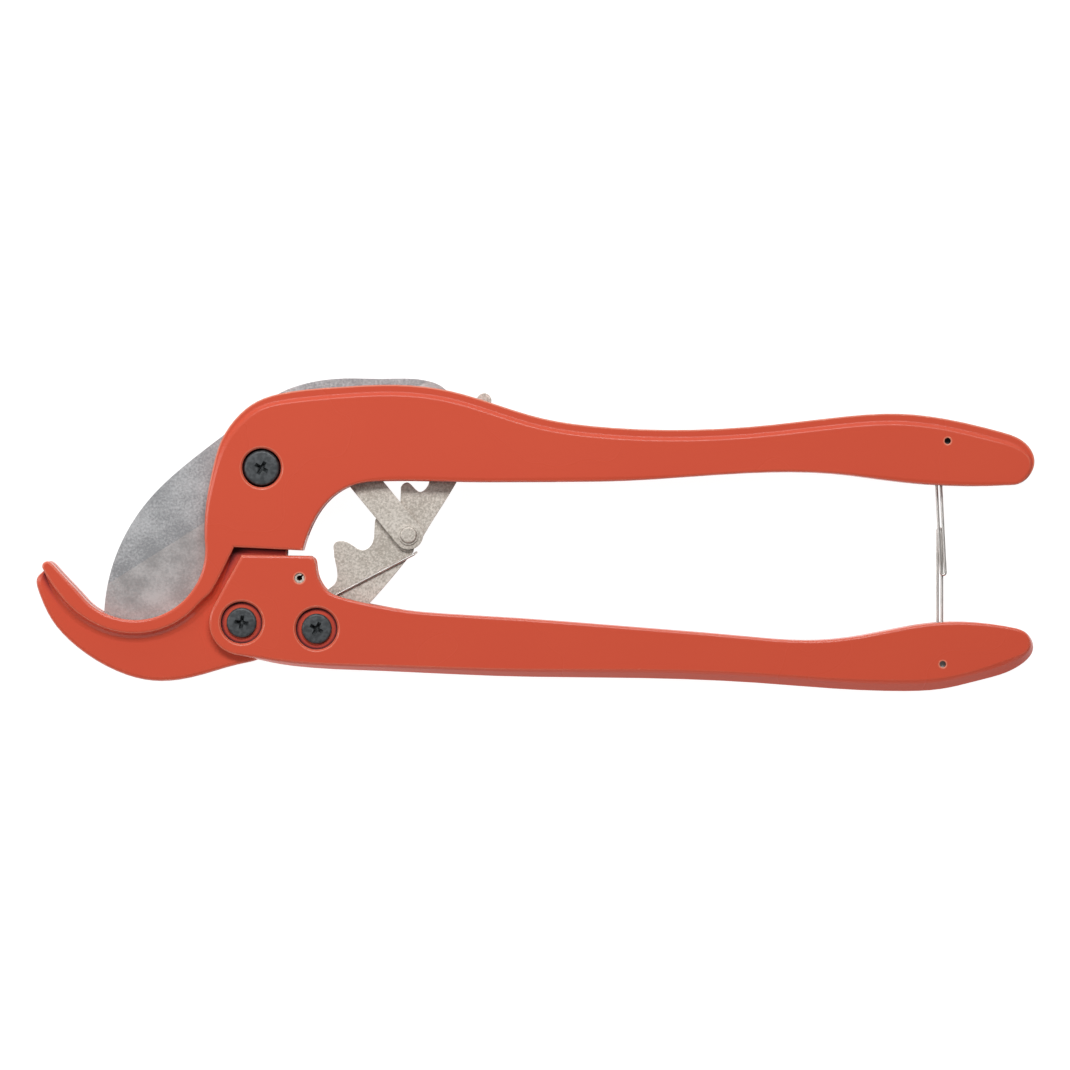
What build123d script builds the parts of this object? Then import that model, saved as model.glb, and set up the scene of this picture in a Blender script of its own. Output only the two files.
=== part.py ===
from build123d import *
from math import acos, asin, atan2, cos, degrees, hypot, radians, sin, sqrt
import os

os.makedirs("parts", exist_ok=True)

# Ratchet cutter for plastic pipe, lying on its side. All sizes are millimetres.
# The drawing frame has its zero at the blade pivot: X runs back along the handles,
# Y runs from the lower handle to the upper one, Z goes from the rear cheek to the front cheek.

# Castings
PIPE_CAPACITY = 63.0
CASTING_THICKNESS = 24.0
WEB_THICKNESS = 14.0
STRIP_WIDTH = 6.0
STRIP_FILLET = 4.0
BEVEL_WIDTH = 5.0
BEVEL_DEPTH = 4.6
EDGE_BREAK = 1.0
UNDERSIDE_BREAK = 1.8
HANDLE_SLOT_WIDTH = 13.0
HANDLE_SLOT_START = 13.0
HANDLE_SLOT_END = 131.0
FORK_CLEARANCE = 0.3
FORK_FLOOR = 5.4
FORK_END = 62.0
BOSS_RADIUS = 18.0
EYE_RADIUS = 14.5

# Pivots
HANDLE_PIVOT = Vector(-8.9, -68.9)
BAR_PIVOT = Vector(24.5, -71.6)
ROLL_PIN_AT = Vector(16.9, -49.1)
LINK_RIVET_AT = Vector(65.3, -29.9)
LINK_PIN_AT = Vector(26.8, 16.9)
BLADE_SCREW_HEAD = 15.6
BLADE_SCREW_RECESS = 17.4
HANDLE_SCREW_HEAD = 13.4
HANDLE_SCREW_RECESS = 18.6
HANDLE_RECESS_DEPTH = 2.6
BLADE_RECESS_DEPTH = 5.0
HEAD_BELOW_FACE = 0.4
CROSS_SIZE = 5.2
SLEEVE_DIAMETER = 9.0
SCREW_SHANK = 5.0
RUNNING_FIT = 0.05
SIDE_PLAY = 0.1

# Blade
BLADE_THICKNESS = 3.4
BLADE_GAP = 0.4
BLADE_EDGE_THICKNESS = 0.5
BLADE_SWING = 60.0
TIP_CLEARANCE = 1.2
NOSE_AT = Vector(91.0, 21.0)
NOSE_RADIUS = 3.6
NOSE_GAP = 0.35
NECK_SLOT_RADIUS = 57.5

# Feed bar and pull-back link
BAR_THICKNESS = 4.0
BAR_SWING = 8.0
LINK_THICKNESS = 2.5
LINK_WIDTH = 13.0
LINK_GAP = 0.3
LINK_SWING = 22.0
LINK_PIN_DIAMETER = 6.0
LINK_SLOT_WIDTH = 7.0
RIVET_SHANK = 6.0
RIVET_HEAD = 7.2
RIVET_FLANGE = 9.0
RIVET_FLANGE_HEIGHT = 0.45
RIVET_HEAD_HEIGHT = 1.3
HANDLE_SWING = 60.0

# Wire parts and cross pins
ROLL_PIN_DIAMETER = 4.5
ROLL_PIN_BORE = 2.4
ROLL_PIN_FLOOR = 1.5
ROLL_PIN_GAP = 0.7
SPRING_WIRE = 1.1
SPRING_COIL_RADIUS = 9.5
SPRING_PITCH = 1.35
SPRING_TURNS = 1
SPRING_HOOK_AT = Vector(67.6, -38.6)
LATCH_WIRE = 1.3
LATCH_LEG_GAP = 2.0
LATCH_PIN_DIAMETER = 2.8
LATCH_PIN_BELOW_FACE = 3.2
LATCH_SLOT_WIDTH = 6.0
LATCH_SLOT_LENGTH = 30.0
UPPER_LATCH_PIN_AT = Vector(305.5, 12.0)
LOWER_LATCH_PIN_AT = Vector(303.3, -87.4)

MIDDLE = CASTING_THICKNESS / 2
FRONT = CASTING_THICKNESS
CRADLE_RADIUS = PIPE_CAPACITY / 2
CRADLE_CENTRE = Vector(-56.6, -36.3)
STRIP_RADIUS = CRADLE_RADIUS + STRIP_WIDTH


def polar(centre, radius, angle):
    """Point at an angle in degrees on a circle."""
    return centre + Vector(radius * cos(radians(angle)), radius * sin(radians(angle)))


def disc(centre, radius, low, high):
    """Round bar along Z between two heights."""
    return Pos(centre.X, centre.Y, low) * Cylinder(radius, high - low, align=(Align.CENTER, Align.CENTER, Align.MIN))


def plate(outline, low, high):
    """Flat plate of a closed outline between two heights."""
    face = make_face(outline)
    return Pos(0, 0, low) * extrude(face, high - low, dir=(0, 0, 1))


def closed(*lines):
    """One closed wire of lines and curves that follow each other."""
    return Wire([edge for line in lines for edge in line.edges()])


def turned(point, angle, centre=Vector(0, 0)):
    """Point turned about a centre, anticlockwise in degrees."""
    arm = point - centre
    c = cos(radians(angle))
    s = sin(radians(angle))
    return centre + Vector(c * arm.X - s * arm.Y, s * arm.X + c * arm.Y)


# Cast outlines with eased edges
# A chain is (kind, points); a point is (x, y, bevel, edge break, foot), all widths at the face.
# A smooth chain is a curve that also meets its neighbours without a kink.
def arc_chain(centre, radius, start, end, bevel, ease, foot, outside):
    """Round chain; outside is +1 where the metal lies outside the circle and -1 where it lies inside."""
    points = []
    for share in (0.0, 0.5, 1.0):
        spot = polar(centre, radius, start + (end - start) * share)
        points.append((spot.X, spot.Y, bevel, ease, foot))
    return ("arc", points, centre, outside)


def heading(spots, i, neighbour, own_way):
    """Direction in which a smooth curve meets the next chain, without a kink except at a straight one."""
    if neighbour[0] == "line":
        return own_way
    if neighbour[0] == "arc":
        spoke = spots[i] - neighbour[2]
        along = Vector(-spoke.Y, spoke.X)
        return along if along.dot(own_way) > 0 else along * -1
    return spots[(i + 1) % len(spots)] - spots[i - 1]


def ring(chains, bevel_share, ease_share, foot_share, height):
    """Closed wire of the chains, each point moved into the metal by its shares."""
    loop = []
    for chain in chains:
        for point in chain[1][:-1]:
            loop.append((point, chain))
    count = len(loop)
    moved = []
    for i in range(count):
        point, chain = loop[i]
        here = Vector(point[0], point[1])
        shift = point[2] * bevel_share + point[3] * ease_share - point[4] * foot_share
        before = Vector(loop[i - 1][0][0], loop[i - 1][0][1])
        after = Vector(loop[(i + 1) % count][0][0], loop[(i + 1) % count][0][1])
        previous = loop[i - 1][1]
        round_chain = chain if chain[0] == "arc" else previous if previous[0] == "arc" else None
        if round_chain:
            normal = (here - round_chain[2]).normalized() * round_chain[3]
        else:
            first = (here - before).normalized()
            second = (after - here).normalized()
            inward = Vector(first.Y, -first.X)
            outward = Vector(second.Y, -second.X)
            normal = (inward + outward) * (1 / (1 + inward.dot(outward)))
        moved.append(here + normal * shift + Vector(0, 0, height))
    edges = []
    start = 0
    for chain in chains:
        steps = len(chain[1]) - 1
        end = (start + steps) % count
        spots = [moved[(start + k) % count] for k in range(steps + 1)]
        if chain[0] == "arc":
            edges.append(ThreePointArc(*spots))
        elif chain[0] == "curve":
            edges.append(Spline(*spots))
        elif chain[0] == "smooth":
            head = heading(moved, start, loop[start - 1][1], spots[1] - spots[0])
            tail = heading(moved, end, loop[end][1], spots[-1] - spots[-2])
            edges.append(Spline(*spots, tangents=(head, tail), tangent_scalars=(1, 1)))
        else:
            edges.extend(Line(a, b) for a, b in zip(spots, spots[1:]))
        start += steps
    return Wire(edges)


def casting(chains):
    """Slab of the full casting thickness with bevelled and eased edges on both faces."""
    profile = (
        (0.0, 1.0, 1.0),
        (EDGE_BREAK * 0.35, 0.86, 0.25),
        (EDGE_BREAK, 0.66, 0.0),
        (BEVEL_DEPTH, 0.0, 0.0),
    )
    rings = [ring(chains, bevel, ease, 0, depth) for depth, bevel, ease in profile]
    mirrored = [ring(chains, bevel, ease, 0, FRONT - depth) for depth, bevel, ease in reversed(profile)]
    return Solid.make_loft(rings + mirrored, ruled=True)


def screw_recess(centre, diameter, depth, z, direction):
    """Round recess sunk from one face, with an eased rim."""
    low, high = (z - depth, z + 1) if direction > 0 else (z - 1, z + depth)
    rim = Cone(diameter / 2, diameter / 2 + EDGE_BREAK * 0.8, EDGE_BREAK * 0.8,
               align=(Align.CENTER, Align.CENTER, Align.MIN))
    if direction > 0:
        rim = Pos(centre.X, centre.Y, z - EDGE_BREAK * 0.8) * rim
    else:
        rim = Pos(centre.X, centre.Y, z + EDGE_BREAK * 0.8) * Rot(180, 0, 0) * rim
    return disc(centre, diameter / 2, low, high) + rim


def slab(points, low, high):
    """Straight-sided block of a polygon."""
    return plate(Polyline(*points, close=True), low, high)


# Body casting: upper handle, neck and hook jaw in one piece
NECK_ANGLE = 7.6
HORN_ANGLE = -125.0
STRIP_START = -40.0
STRIP_END = -115.0
TIP_CORNER = Vector(-70.0, -81.2)
HEEL_CORNER = Vector(-16.9, -53.5)


def body_outline():
    neck = polar(CRADLE_CENTRE, CRADLE_RADIUS, NECK_ANGLE)
    horn = polar(CRADLE_CENTRE, CRADLE_RADIUS, HORN_ANGLE)
    strip_start = polar(CRADLE_CENTRE, STRIP_RADIUS, STRIP_START)
    strip_end = polar(CRADLE_CENTRE, STRIP_RADIUS, STRIP_END)
    e = EDGE_BREAK
    b = BEVEL_WIDTH
    u = UNDERSIDE_BREAK
    f = STRIP_FILLET
    top = [
        (neck.X, neck.Y, 0, e, 0), (-24.5, -14.3, 0.12 * b, e, 0), (-21.9, -0.9, 0.25 * b, e, 0),
        (-17.8, 12.5, 0.42 * b, e, 0), (-12.0, 21.4, 0.58 * b, e, 0), (-3.1, 29.0, 0.75 * b, 0.5 * e, 0),
        (12.5, 33.9, b, 0, 0), (34.8, 36.1, b, 0, 0), (61.5, 37.0, b, 0, 0), (83.8, 34.3, b, 0, 0),
        (106.1, 27.7, b, 0, 0), (124.0, 22.3, b, 0, 0), (150.7, 18.3, b, 0, 0), (186.4, 16.9, b, 0, 0),
        (222.1, 18.7, b, 0, 0), (257.8, 22.7, b, 0, 0), (284.5, 24.1, b, 0, 0), (311.3, 20.5, b, 0, 0),
        (329.1, 16.1, b, 0, 0), (340.0, 11.2, 0.8 * b, 0, 0), (344.2, 3.4, 0.35 * b, 0.3 * e, 0),
        (341.5, -4.0, 0.1 * b, e, 0), (333.6, -7.6, 0, 1.2 * e, 0),
    ]
    underside = [
        (333.6, -7.6, 0, 1.2 * e, 0), (311.3, -8.0, 0, u, 0), (284.5, -6.2, 0, u, 0),
        (257.8, -2.8, 0, e, 0), (231.0, -1.8, 0, e, 0), (195.3, -3.6, 0, e, 0), (159.7, -5.8, 0, u, 0),
        (124.0, -6.2, 0, u, 0), (90.0, -6.2, 0, u, 0), (55.0, -5.8, 0, u, 0), (39.2, -8.2, 0, e, 0),
        (30.3, -14.0, 0, e, 0), (23.6, -23.0, 0, e, 0), (18.3, -36.8, 0, e, 0),
    ]
    neck_foot = [(18.3, -36.8, 0, e, 0), (-12.2, -35.3, 0, e, 0), (-19.2, -49.5, 0, e, 0.5 * f)]
    strip_lead = [(-19.2, -49.5, 0, e, 0.5 * f), (-23.0, -55.8, 0, e, f),
                  (strip_start.X, strip_start.Y, 0, e, f)]
    strip = arc_chain(CRADLE_CENTRE, STRIP_RADIUS, STRIP_START, STRIP_END, 0, e, f, -1)
    strip_tail = [(strip_end.X, strip_end.Y, 0, e, f), (-82.7, -64.0, 0, e, f),
                  (-90.6, -55.6, 0, 0.8 * e, 0.6 * f), (-97.6, -44.6, 0, 0.6 * e, 0)]
    tip = [(-97.6, -44.6, 0, 0.6 * e, 0), (-97.0, -42.2, 0, 0.6 * e, 0), (-94.6, -41.8, 0, 0.6 * e, 0)]
    horn_side = [(-94.6, -41.8, 0, 0.6 * e, 0), (-90.1, -46.2, 0, 0.8 * e, 0), (-82.5, -54.2, 0, e, 0),
                 (horn.X, horn.Y, 0, e, 0)]
    cradle = arc_chain(CRADLE_CENTRE, CRADLE_RADIUS, HORN_ANGLE, NECK_ANGLE, 0, e, 0, 1)
    return [("curve", top), ("curve", underside), ("line", neck_foot), ("smooth", strip_lead), strip,
            ("smooth", strip_tail), ("smooth", tip), ("smooth", horn_side), cradle]


def web_outline():
    """Thin web behind the strip, from the horn round to the pivot boss and up into the neck."""
    e = EDGE_BREAK * 1.6
    inner = CRADLE_RADIUS + STRIP_WIDTH / 2
    boss_low = polar(HANDLE_PIVOT, BOSS_RADIUS, -80)
    boss_side = polar(HANDLE_PIVOT, BOSS_RADIUS, 5)
    inner_end = polar(CRADLE_CENTRE, inner, HORN_ANGLE)
    inner_start = polar(CRADLE_CENTRE, inner, -10)
    inner_arc = arc_chain(CRADLE_CENTRE, inner, HORN_ANGLE, -10, 0, 0, 0, 1)
    boss = arc_chain(HANDLE_PIVOT, BOSS_RADIUS, 5, -80, 0, e, 0, -1)
    inside = [(inner_start.X, inner_start.Y, 0, 0, 0), (-5.0, -20.0, 0, 0, 0), (11.2, -28.0, 0, 0, 0),
              (11.2, -38.0, 0, 0, 0), (boss_side.X, boss_side.Y, 0, e, 0)]
    outer = [(boss_low.X, boss_low.Y, 0, e, 0), (-15.5, -88.9, 0, e, 0), (-25.9, -92.0, 0, e, 0),
             (-42.4, -95.0, 0, e, 0), (-51.3, -94.6, 0, e, 0), (-66.0, -90.1, 0, e, 0),
             (-80.3, -81.6, 0, e, 0), (-93.2, -68.7, 0, e, 0), (-99.4, -56.0, 0, e, 0),
             (-100.2, -48.6, 0, e, 0), (-97.0, -45.4, 0, 0.5 * e, 0)]
    back = [(-97.0, -45.4, 0, 0.5 * e, 0), (-93.5, -47.0, 0, 0, 0), (inner_end.X, inner_end.Y, 0, 0, 0)]
    return [("line", inside), boss, ("smooth", outer), ("line", back), inner_arc]


def web():
    low = MIDDLE - WEB_THICKNESS / 2
    high = MIDDLE + WEB_THICKNESS / 2
    depth = EDGE_BREAK * 1.6
    profile = ((low, 1.0), (low + 0.35 * depth, 0.25), (low + depth, 0.0),
               (high - depth, 0.0), (high - 0.35 * depth, 0.25), (high, 1.0))
    rings = [ring(web_outline(), 0, ease, 0, z) for z, ease in profile]
    return Solid.make_loft(rings, ruled=True)


def strip_foot(web_face, direction):
    """Hollow fillet that leads the strip down onto the web."""
    profile = ((0.0, 1.0), (0.16, 0.55), (0.45, 0.2), (1.0, 0.0))
    chains = body_outline()
    rings = [ring(chains, 0, 0, foot, web_face + direction * STRIP_FILLET * rise) for rise, foot in profile]
    if direction < 0:
        rings.reverse()
    return Solid.make_loft(rings, ruled=True)


def blade_room():
    """Narrow slot for the blade: jaw groove, neck and the way of the tail."""
    low = MIDDLE - BLADE_THICKNESS / 2 - BLADE_GAP
    high = MIDDLE + BLADE_THICKNESS / 2 + BLADE_GAP
    tip_radius = hypot(TIP_CORNER.X, TIP_CORNER.Y) + TIP_CLEARANCE
    along = (HEEL_CORNER - TIP_CORNER).normalized()
    down = Vector(along.Y, -along.X)
    left = TIP_CORNER - along * 60 + down * TIP_CLEARANCE
    right = HEEL_CORNER + along * 8 + down * TIP_CLEARANCE
    above = slab([left, right, Vector(40, 20), Vector(0, 120), Vector(-160, 60)], low, high)
    groove = disc(Vector(0, 0), tip_radius, low, high) & above
    tail = slab([(0, 60), (HANDLE_SLOT_START + 2, 60), (HANDLE_SLOT_START + 2, -60), (0, -40)], low, high)
    return groove + disc(Vector(0, 0), NECK_SLOT_RADIUS, low, high) + tail


def handle_room():
    """Wide slot through the upper handle for the tail, the feed bar and the link."""
    half = HANDLE_SLOT_WIDTH / 2
    return slab([(HANDLE_SLOT_START, 60), (HANDLE_SLOT_END, 60), (HANDLE_SLOT_END, -30),
                 (HANDLE_SLOT_START, -30)], MIDDLE - half, MIDDLE + half)


def latch_room(pin, mouth_y):
    """Slot at a handle end for a latch wire, open towards the other handle."""
    half = LATCH_SLOT_LENGTH / 2
    floor = pin.Y + (5.0 if mouth_y < pin.Y else -5.0)
    middle = (floor + mouth_y) / 2
    block = Box(2 * half, abs(mouth_y - floor), LATCH_SLOT_WIDTH)
    return Pos(pin.X, middle, MIDDLE) * block


def body_casting():
    body = casting(body_outline()) + web()
    body += strip_foot(MIDDLE + WEB_THICKNESS / 2, 1)
    body += strip_foot(MIDDLE - WEB_THICKNESS / 2, -1)
    body -= blade_room() + handle_room()
    body -= latch_room(UPPER_LATCH_PIN_AT, -30)
    centre = Vector(0, 0)
    bore = SLEEVE_DIAMETER / 2 + RUNNING_FIT
    body -= disc(centre, bore, -1, FRONT + 1)
    body -= screw_recess(centre, BLADE_SCREW_RECESS, BLADE_RECESS_DEPTH, FRONT, 1)
    body -= screw_recess(centre, BLADE_SCREW_RECESS, BLADE_RECESS_DEPTH, 0, -1)
    body -= disc(HANDLE_PIVOT, bore, -1, FRONT + 1)
    body -= disc(UPPER_LATCH_PIN_AT, LATCH_PIN_DIAMETER / 2, -1, FRONT + 1)
    return body


# Lower handle casting: fork at the front, grip at the back
def lower_outline():
    e = EDGE_BREAK
    b = BEVEL_WIDTH
    shoulder = Vector(-8.9, -38.8)
    arm = shoulder - HANDLE_PIVOT
    reach = degrees(asin(EYE_RADIUS / arm.length))
    side_angle = degrees(atan2(arm.Y, arm.X)) + 90 - reach
    low_angle = 250.0
    side = polar(HANDLE_PIVOT, EYE_RADIUS, side_angle)
    low = polar(HANDLE_PIVOT, EYE_RADIUS, low_angle)
    eye = arc_chain(HANDLE_PIVOT, EYE_RADIUS, low_angle, side_angle, 0, e, 0, -1)
    cheek = [(side.X, side.Y, 0, e, 0), (shoulder.X, shoulder.Y, 0, e, 0), (21.6, -39.2, 0, e, 0)]
    throat = [
        (21.6, -39.2, 0, e, 0), (23.2, -40.2, 0, e, 0), (24.3, -44.0, 0, e, 0), (25.4, -49.0, 0, e, 0),
        (29.0, -54.4, 0, e, 0), (37.0, -58.0, 0, e, 0), (52.6, -61.5, 0, e, 0), (70.5, -64.2, 0, e, 0),
    ]
    top = [
        (70.5, -64.2, 0, e, 0), (106.1, -66.5, 0, e, 0), (159.7, -70.5, 0, e, 0), (213.2, -74.9, 0, e, 0),
        (244.4, -76.9, 0, e, 0), (266.7, -74.9, 0, e, 0), (284.5, -71.4, 0, e, 0), (302.4, -68.9, 0, e, 0),
    ]
    end = [
        (302.4, -68.9, 0, e, 0), (320.2, -69.1, 0, e, 0), (333.6, -70.9, 0, e, 0), (341.4, -74.0, 0.1 * b, e, 0),
        (343.9, -80.3, 0.4 * b, 0.3 * e, 0), (338.1, -87.9, 0.9 * b, 0, 0), (320.2, -94.6, b, 0, 0),
        (302.4, -98.6, b, 0, 0),
    ]
    belly = [
        (302.4, -98.6, b, 0, 0), (284.5, -99.5, b, 0, 0), (260.0, -98.7, 0.96 * b, 0, 0),
        (222.1, -95.9, 0.9 * b, 0, 0), (168.6, -93.7, 0.8 * b, 0, 0), (106.1, -92.8, 0.67 * b, 0, 0),
        (52.6, -90.5, 0.54 * b, 0.1 * e, 0), (16.9, -88.6, 0.42 * b, 0.3 * e, 0),
        (3.6, -86.6, 0.3 * b, 0.6 * e, 0), (-6.0, -84.4, 0.1 * b, e, 0), (low.X, low.Y, 0, e, 0),
    ]
    return [("line", cheek), ("smooth", throat), ("smooth", top), ("smooth", end), ("smooth", belly), eye]


def fork_room():
    """Slot between the cheeks of the fork."""
    half = WEB_THICKNESS / 2 + FORK_CLEARANCE
    floor = -88.4 + FORK_FLOOR
    front = [(-40, -20), (FORK_END, -20), (FORK_END, floor), (12.0, floor), (12.0, -110), (-40, -110)]
    return slab(front, MIDDLE - half, MIDDLE + half)


def lower_handle():
    handle = casting(lower_outline())
    handle -= fork_room()
    handle -= latch_room(LOWER_LATCH_PIN_AT, -50)
    bore = SLEEVE_DIAMETER / 2 + RUNNING_FIT
    for centre in (HANDLE_PIVOT, BAR_PIVOT):
        handle -= disc(centre, bore, -1, FRONT + 1)
        handle -= screw_recess(centre, HANDLE_SCREW_RECESS, HANDLE_RECESS_DEPTH, FRONT, 1)
        handle -= screw_recess(centre, HANDLE_SCREW_RECESS, HANDLE_RECESS_DEPTH, 0, -1)
    handle -= disc(ROLL_PIN_AT, ROLL_PIN_DIAMETER / 2, ROLL_PIN_FLOOR, FRONT + 1)
    handle -= disc(LOWER_LATCH_PIN_AT, LATCH_PIN_DIAMETER / 2, -1, FRONT + 1)
    return handle


# Pivot screws: a headed sleeve from the rear and a cross-recess screw from the front
def pivot_sleeve(centre, head_diameter, recess_depth):
    head = disc(centre, head_diameter / 2, HEAD_BELOW_FACE, recess_depth)
    barrel = disc(centre, SLEEVE_DIAMETER / 2, recess_depth, FRONT - recess_depth - SIDE_PLAY)
    thread_hole = disc(centre, SCREW_SHANK / 2, MIDDLE - 6, FRONT)
    slot = Pos(centre.X, centre.Y, HEAD_BELOW_FACE) * Box(head_diameter + 1, 1.6, 1.6)
    return head + barrel - thread_hole - slot


def cross_recess(size):
    """Cross recess: four tapered wings round a conical middle, its mouth at height 0."""
    cut = Pos(0, 0, -size * 0.45) * Cone(size * 0.08, size * 0.25, size * 0.46,
                                         align=(Align.CENTER, Align.CENTER, Align.MIN))
    for angle in (0, 90):
        mouth = Pos(0, 0, 0.01) * Rectangle(size, size * 0.2)
        floor = Pos(0, 0, -size * 0.4) * Rectangle(size * 0.32, size * 0.12)
        cut += Rot(0, 0, angle) * loft([mouth, floor])
    return cut


def pivot_screw(centre, head_diameter, recess_depth, cross_angle):
    base = FRONT - recess_depth
    top = FRONT - HEAD_BELOW_FACE
    head = disc(centre, head_diameter / 2, base, top)
    rim = head.edges().filter_by(GeomType.CIRCLE).sort_by(Axis.Z)[-1]
    head = fillet(rim, 0.8)
    shank = disc(centre, SCREW_SHANK / 2 - RUNNING_FIT, MIDDLE - 5, base)
    cross = Pos(centre.X, centre.Y, top) * Rot(0, 0, cross_angle)
    return head + shank - cross * cross_recess(CROSS_SIZE)


def bar_spacer(low, high):
    spacer = disc(BAR_PIVOT, SLEEVE_DIAMETER / 2 + 2.5, low, high)
    return spacer - disc(BAR_PIVOT, SLEEVE_DIAMETER / 2 + RUNNING_FIT, low - 1, high + 1)


# Blade: jaw end with ground bevels, pivot, slotted tail and drive nose
def link_slot_path():
    """Where the link pin stands in the blade at rest, half open and open."""
    spots = []
    for share in (0.0, 0.5, 1.0):
        handle_turn = -HANDLE_SWING * share
        bar_turn = handle_turn + BAR_SWING * share
        link_turn = bar_turn + LINK_SWING * share
        pivot = turned(BAR_PIVOT, handle_turn, HANDLE_PIVOT)
        rivet = pivot + turned(LINK_RIVET_AT - BAR_PIVOT, bar_turn)
        pin = rivet + turned(LINK_PIN_AT - LINK_RIVET_AT, link_turn)
        spots.append(turned(pin, BLADE_SWING * share))
    return spots


def blade_outline():
    front = Spline(TIP_CORNER, (-70.8, -64.5), (-66.2, -40.9), (-51.7, -15.2), (-31.7, 3.7), (-11.6, 19.2))
    back = Spline((-11.6, 19.2), (-0.7, 28.3), (10.3, 34.8), (19.2, 37.8), (37.5, 40.1), (52.6, 39.9),
                  (74.5, 38.8), (78.9, 37.2), (82.7, 34.1))
    nose_top = polar(NOSE_AT, NOSE_RADIUS, 40)
    nose_low = polar(NOSE_AT, NOSE_RADIUS, -125)
    tail_top = Spline((82.7, 34.1), (88.6, 29.0), nose_top)
    nose = ThreePointArc(nose_top, polar(NOSE_AT, NOSE_RADIUS, -42), nose_low)
    underside = Spline(nose_low, (82.0, 23.6), (74.0, 15.5), (64.0, 7.0), (50.0, 1.5), (30.0, -4.5),
                       (12.0, -15.0), (0.0, -34.0), HEEL_CORNER)
    edge = Line(HEEL_CORNER, TIP_CORNER)
    return closed(front, back, tail_top, nose, underside, edge)


def bevel_cutter():
    """Wedge that grinds one side of the blade down towards the cutting edge."""
    upper_left = Vector(-69.1, -51.7)
    upper_right = Vector(-26.3, -24.5)
    along = (upper_right - upper_left).normalized()
    down = Vector(along.Y, -along.X)
    edge_middle = (TIP_CORNER + HEEL_CORNER) * 0.5
    reach = (edge_middle - upper_left).dot(down)
    drop = (BLADE_THICKNESS - BLADE_EDGE_THICKNESS) / 2
    far = reach * 2
    section = Polyline((0, 0), (far, -drop * 2), (far, 8), (0, 8), close=True)
    ground = Plane(origin=(upper_left - along * 40), x_dir=down, z_dir=-along)
    face = ground * make_face(section)
    return extrude(face, 160, dir=along)


def blade():
    low = MIDDLE - BLADE_THICKNESS / 2
    high = MIDDLE + BLADE_THICKNESS / 2
    body = plate(blade_outline(), low, high)
    body -= Pos(0, 0, high) * bevel_cutter()
    body -= Pos(0, 0, low) * mirror(bevel_cutter(), Plane.XY)
    body -= disc(Vector(0, 0), SLEEVE_DIAMETER / 2 + RUNNING_FIT, low - 1, high + 1)
    path = ThreePointArc(*link_slot_path())
    slot = SlotArc(path, LINK_SLOT_WIDTH)
    body -= Pos(0, 0, low - 1) * extrude(slot, BLADE_THICKNESS + 2, dir=(0, 0, 1))
    return body


# Feed bar: notched plate that pushes the blade nose up, one notch for each squeeze
def bar_outline():
    end = BAR_PIVOT
    seat_right = polar(NOSE_AT, NOSE_RADIUS + NOSE_GAP, 0)
    seat_middle = polar(NOSE_AT, NOSE_RADIUS + NOSE_GAP, -60)
    seat_left = polar(NOSE_AT, NOSE_RADIUS + NOSE_GAP, -125)
    crown = ThreePointArc((95.9, 31.2), (98.9, 33.5), (102.2, 29.5))
    right = Spline((102.2, 29.5), (95.6, 12.2), (87.3, -5.2), (71.9, -30.3), (70.2, -33.4))
    notch = Polyline((70.2, -33.4), (67.9, -35.2), (67.3, -37.6), (64.7, -40.6))
    lower_right = Spline((64.7, -40.6), (48.0, -60.2), (32.6, -76.2))
    foot = ThreePointArc((32.6, -76.2), (20.0, -79.4), (15.7, -69.6))
    lower_left = Spline((15.7, -69.6), (22.0, -61.0), (30.2, -53.5))
    heel = Spline((30.2, -53.5), (33.3, -49.5), (32.8, -43.0), (31.9, -37.0))
    tooth_one = Spline((31.9, -37.0), (33.0, -33.0), (36.4, -32.7), (41.0, -35.1), (45.0, -36.7),
                       (48.6, -34.4), (49.9, -30.0), (50.4, -22.9))
    flank = Polyline((50.4, -22.9), (61.6, -15.6), (61.8, -9.6))
    tooth_two = Spline((61.8, -9.6), (62.6, -7.3), (64.7, -6.4), (67.2, -8.3), (70.6, -10.6),
                       (73.4, -8.6), (74.5, -5.2))
    tooth_three = Spline((74.5, -5.2), (79.0, 5.8), (83.2, 14.2), seat_left)
    seat = ThreePointArc(seat_left, seat_middle, seat_right)
    shaft = Line(seat_right, (95.9, 31.2))
    return closed(crown, right, notch, lower_right, foot, lower_left, heel, tooth_one, flank, tooth_two,
                  tooth_three, seat, shaft)


def feed_bar():
    low = MIDDLE - BAR_THICKNESS / 2
    high = MIDDLE + BAR_THICKNESS / 2
    bar = plate(bar_outline(), low, high)
    bar -= disc(BAR_PIVOT, SLEEVE_DIAMETER / 2 + RUNNING_FIT, low - 1, high + 1)
    return bar - disc(LINK_RIVET_AT, RIVET_SHANK / 2, low - 1, high + 1)


LINK_LOW = MIDDLE + BAR_THICKNESS / 2 + LINK_GAP
LINK_HIGH = LINK_LOW + LINK_THICKNESS


def pull_link():
    arm = LINK_PIN_AT - LINK_RIVET_AT
    angle = degrees(atan2(arm.Y, arm.X))
    shape = SlotCenterToCenter(arm.length, LINK_WIDTH)
    middle = (LINK_PIN_AT + LINK_RIVET_AT) * 0.5
    link = Pos(middle.X, middle.Y, LINK_LOW) * Rot(0, 0, angle) * extrude(shape, LINK_THICKNESS)
    link -= disc(LINK_RIVET_AT, RIVET_SHANK / 2 + RUNNING_FIT, LINK_LOW - 1, LINK_HIGH + 1)
    return link - disc(LINK_PIN_AT, LINK_PIN_DIAMETER / 2 - 0.8, LINK_LOW - 1, LINK_HIGH + 1)


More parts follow.
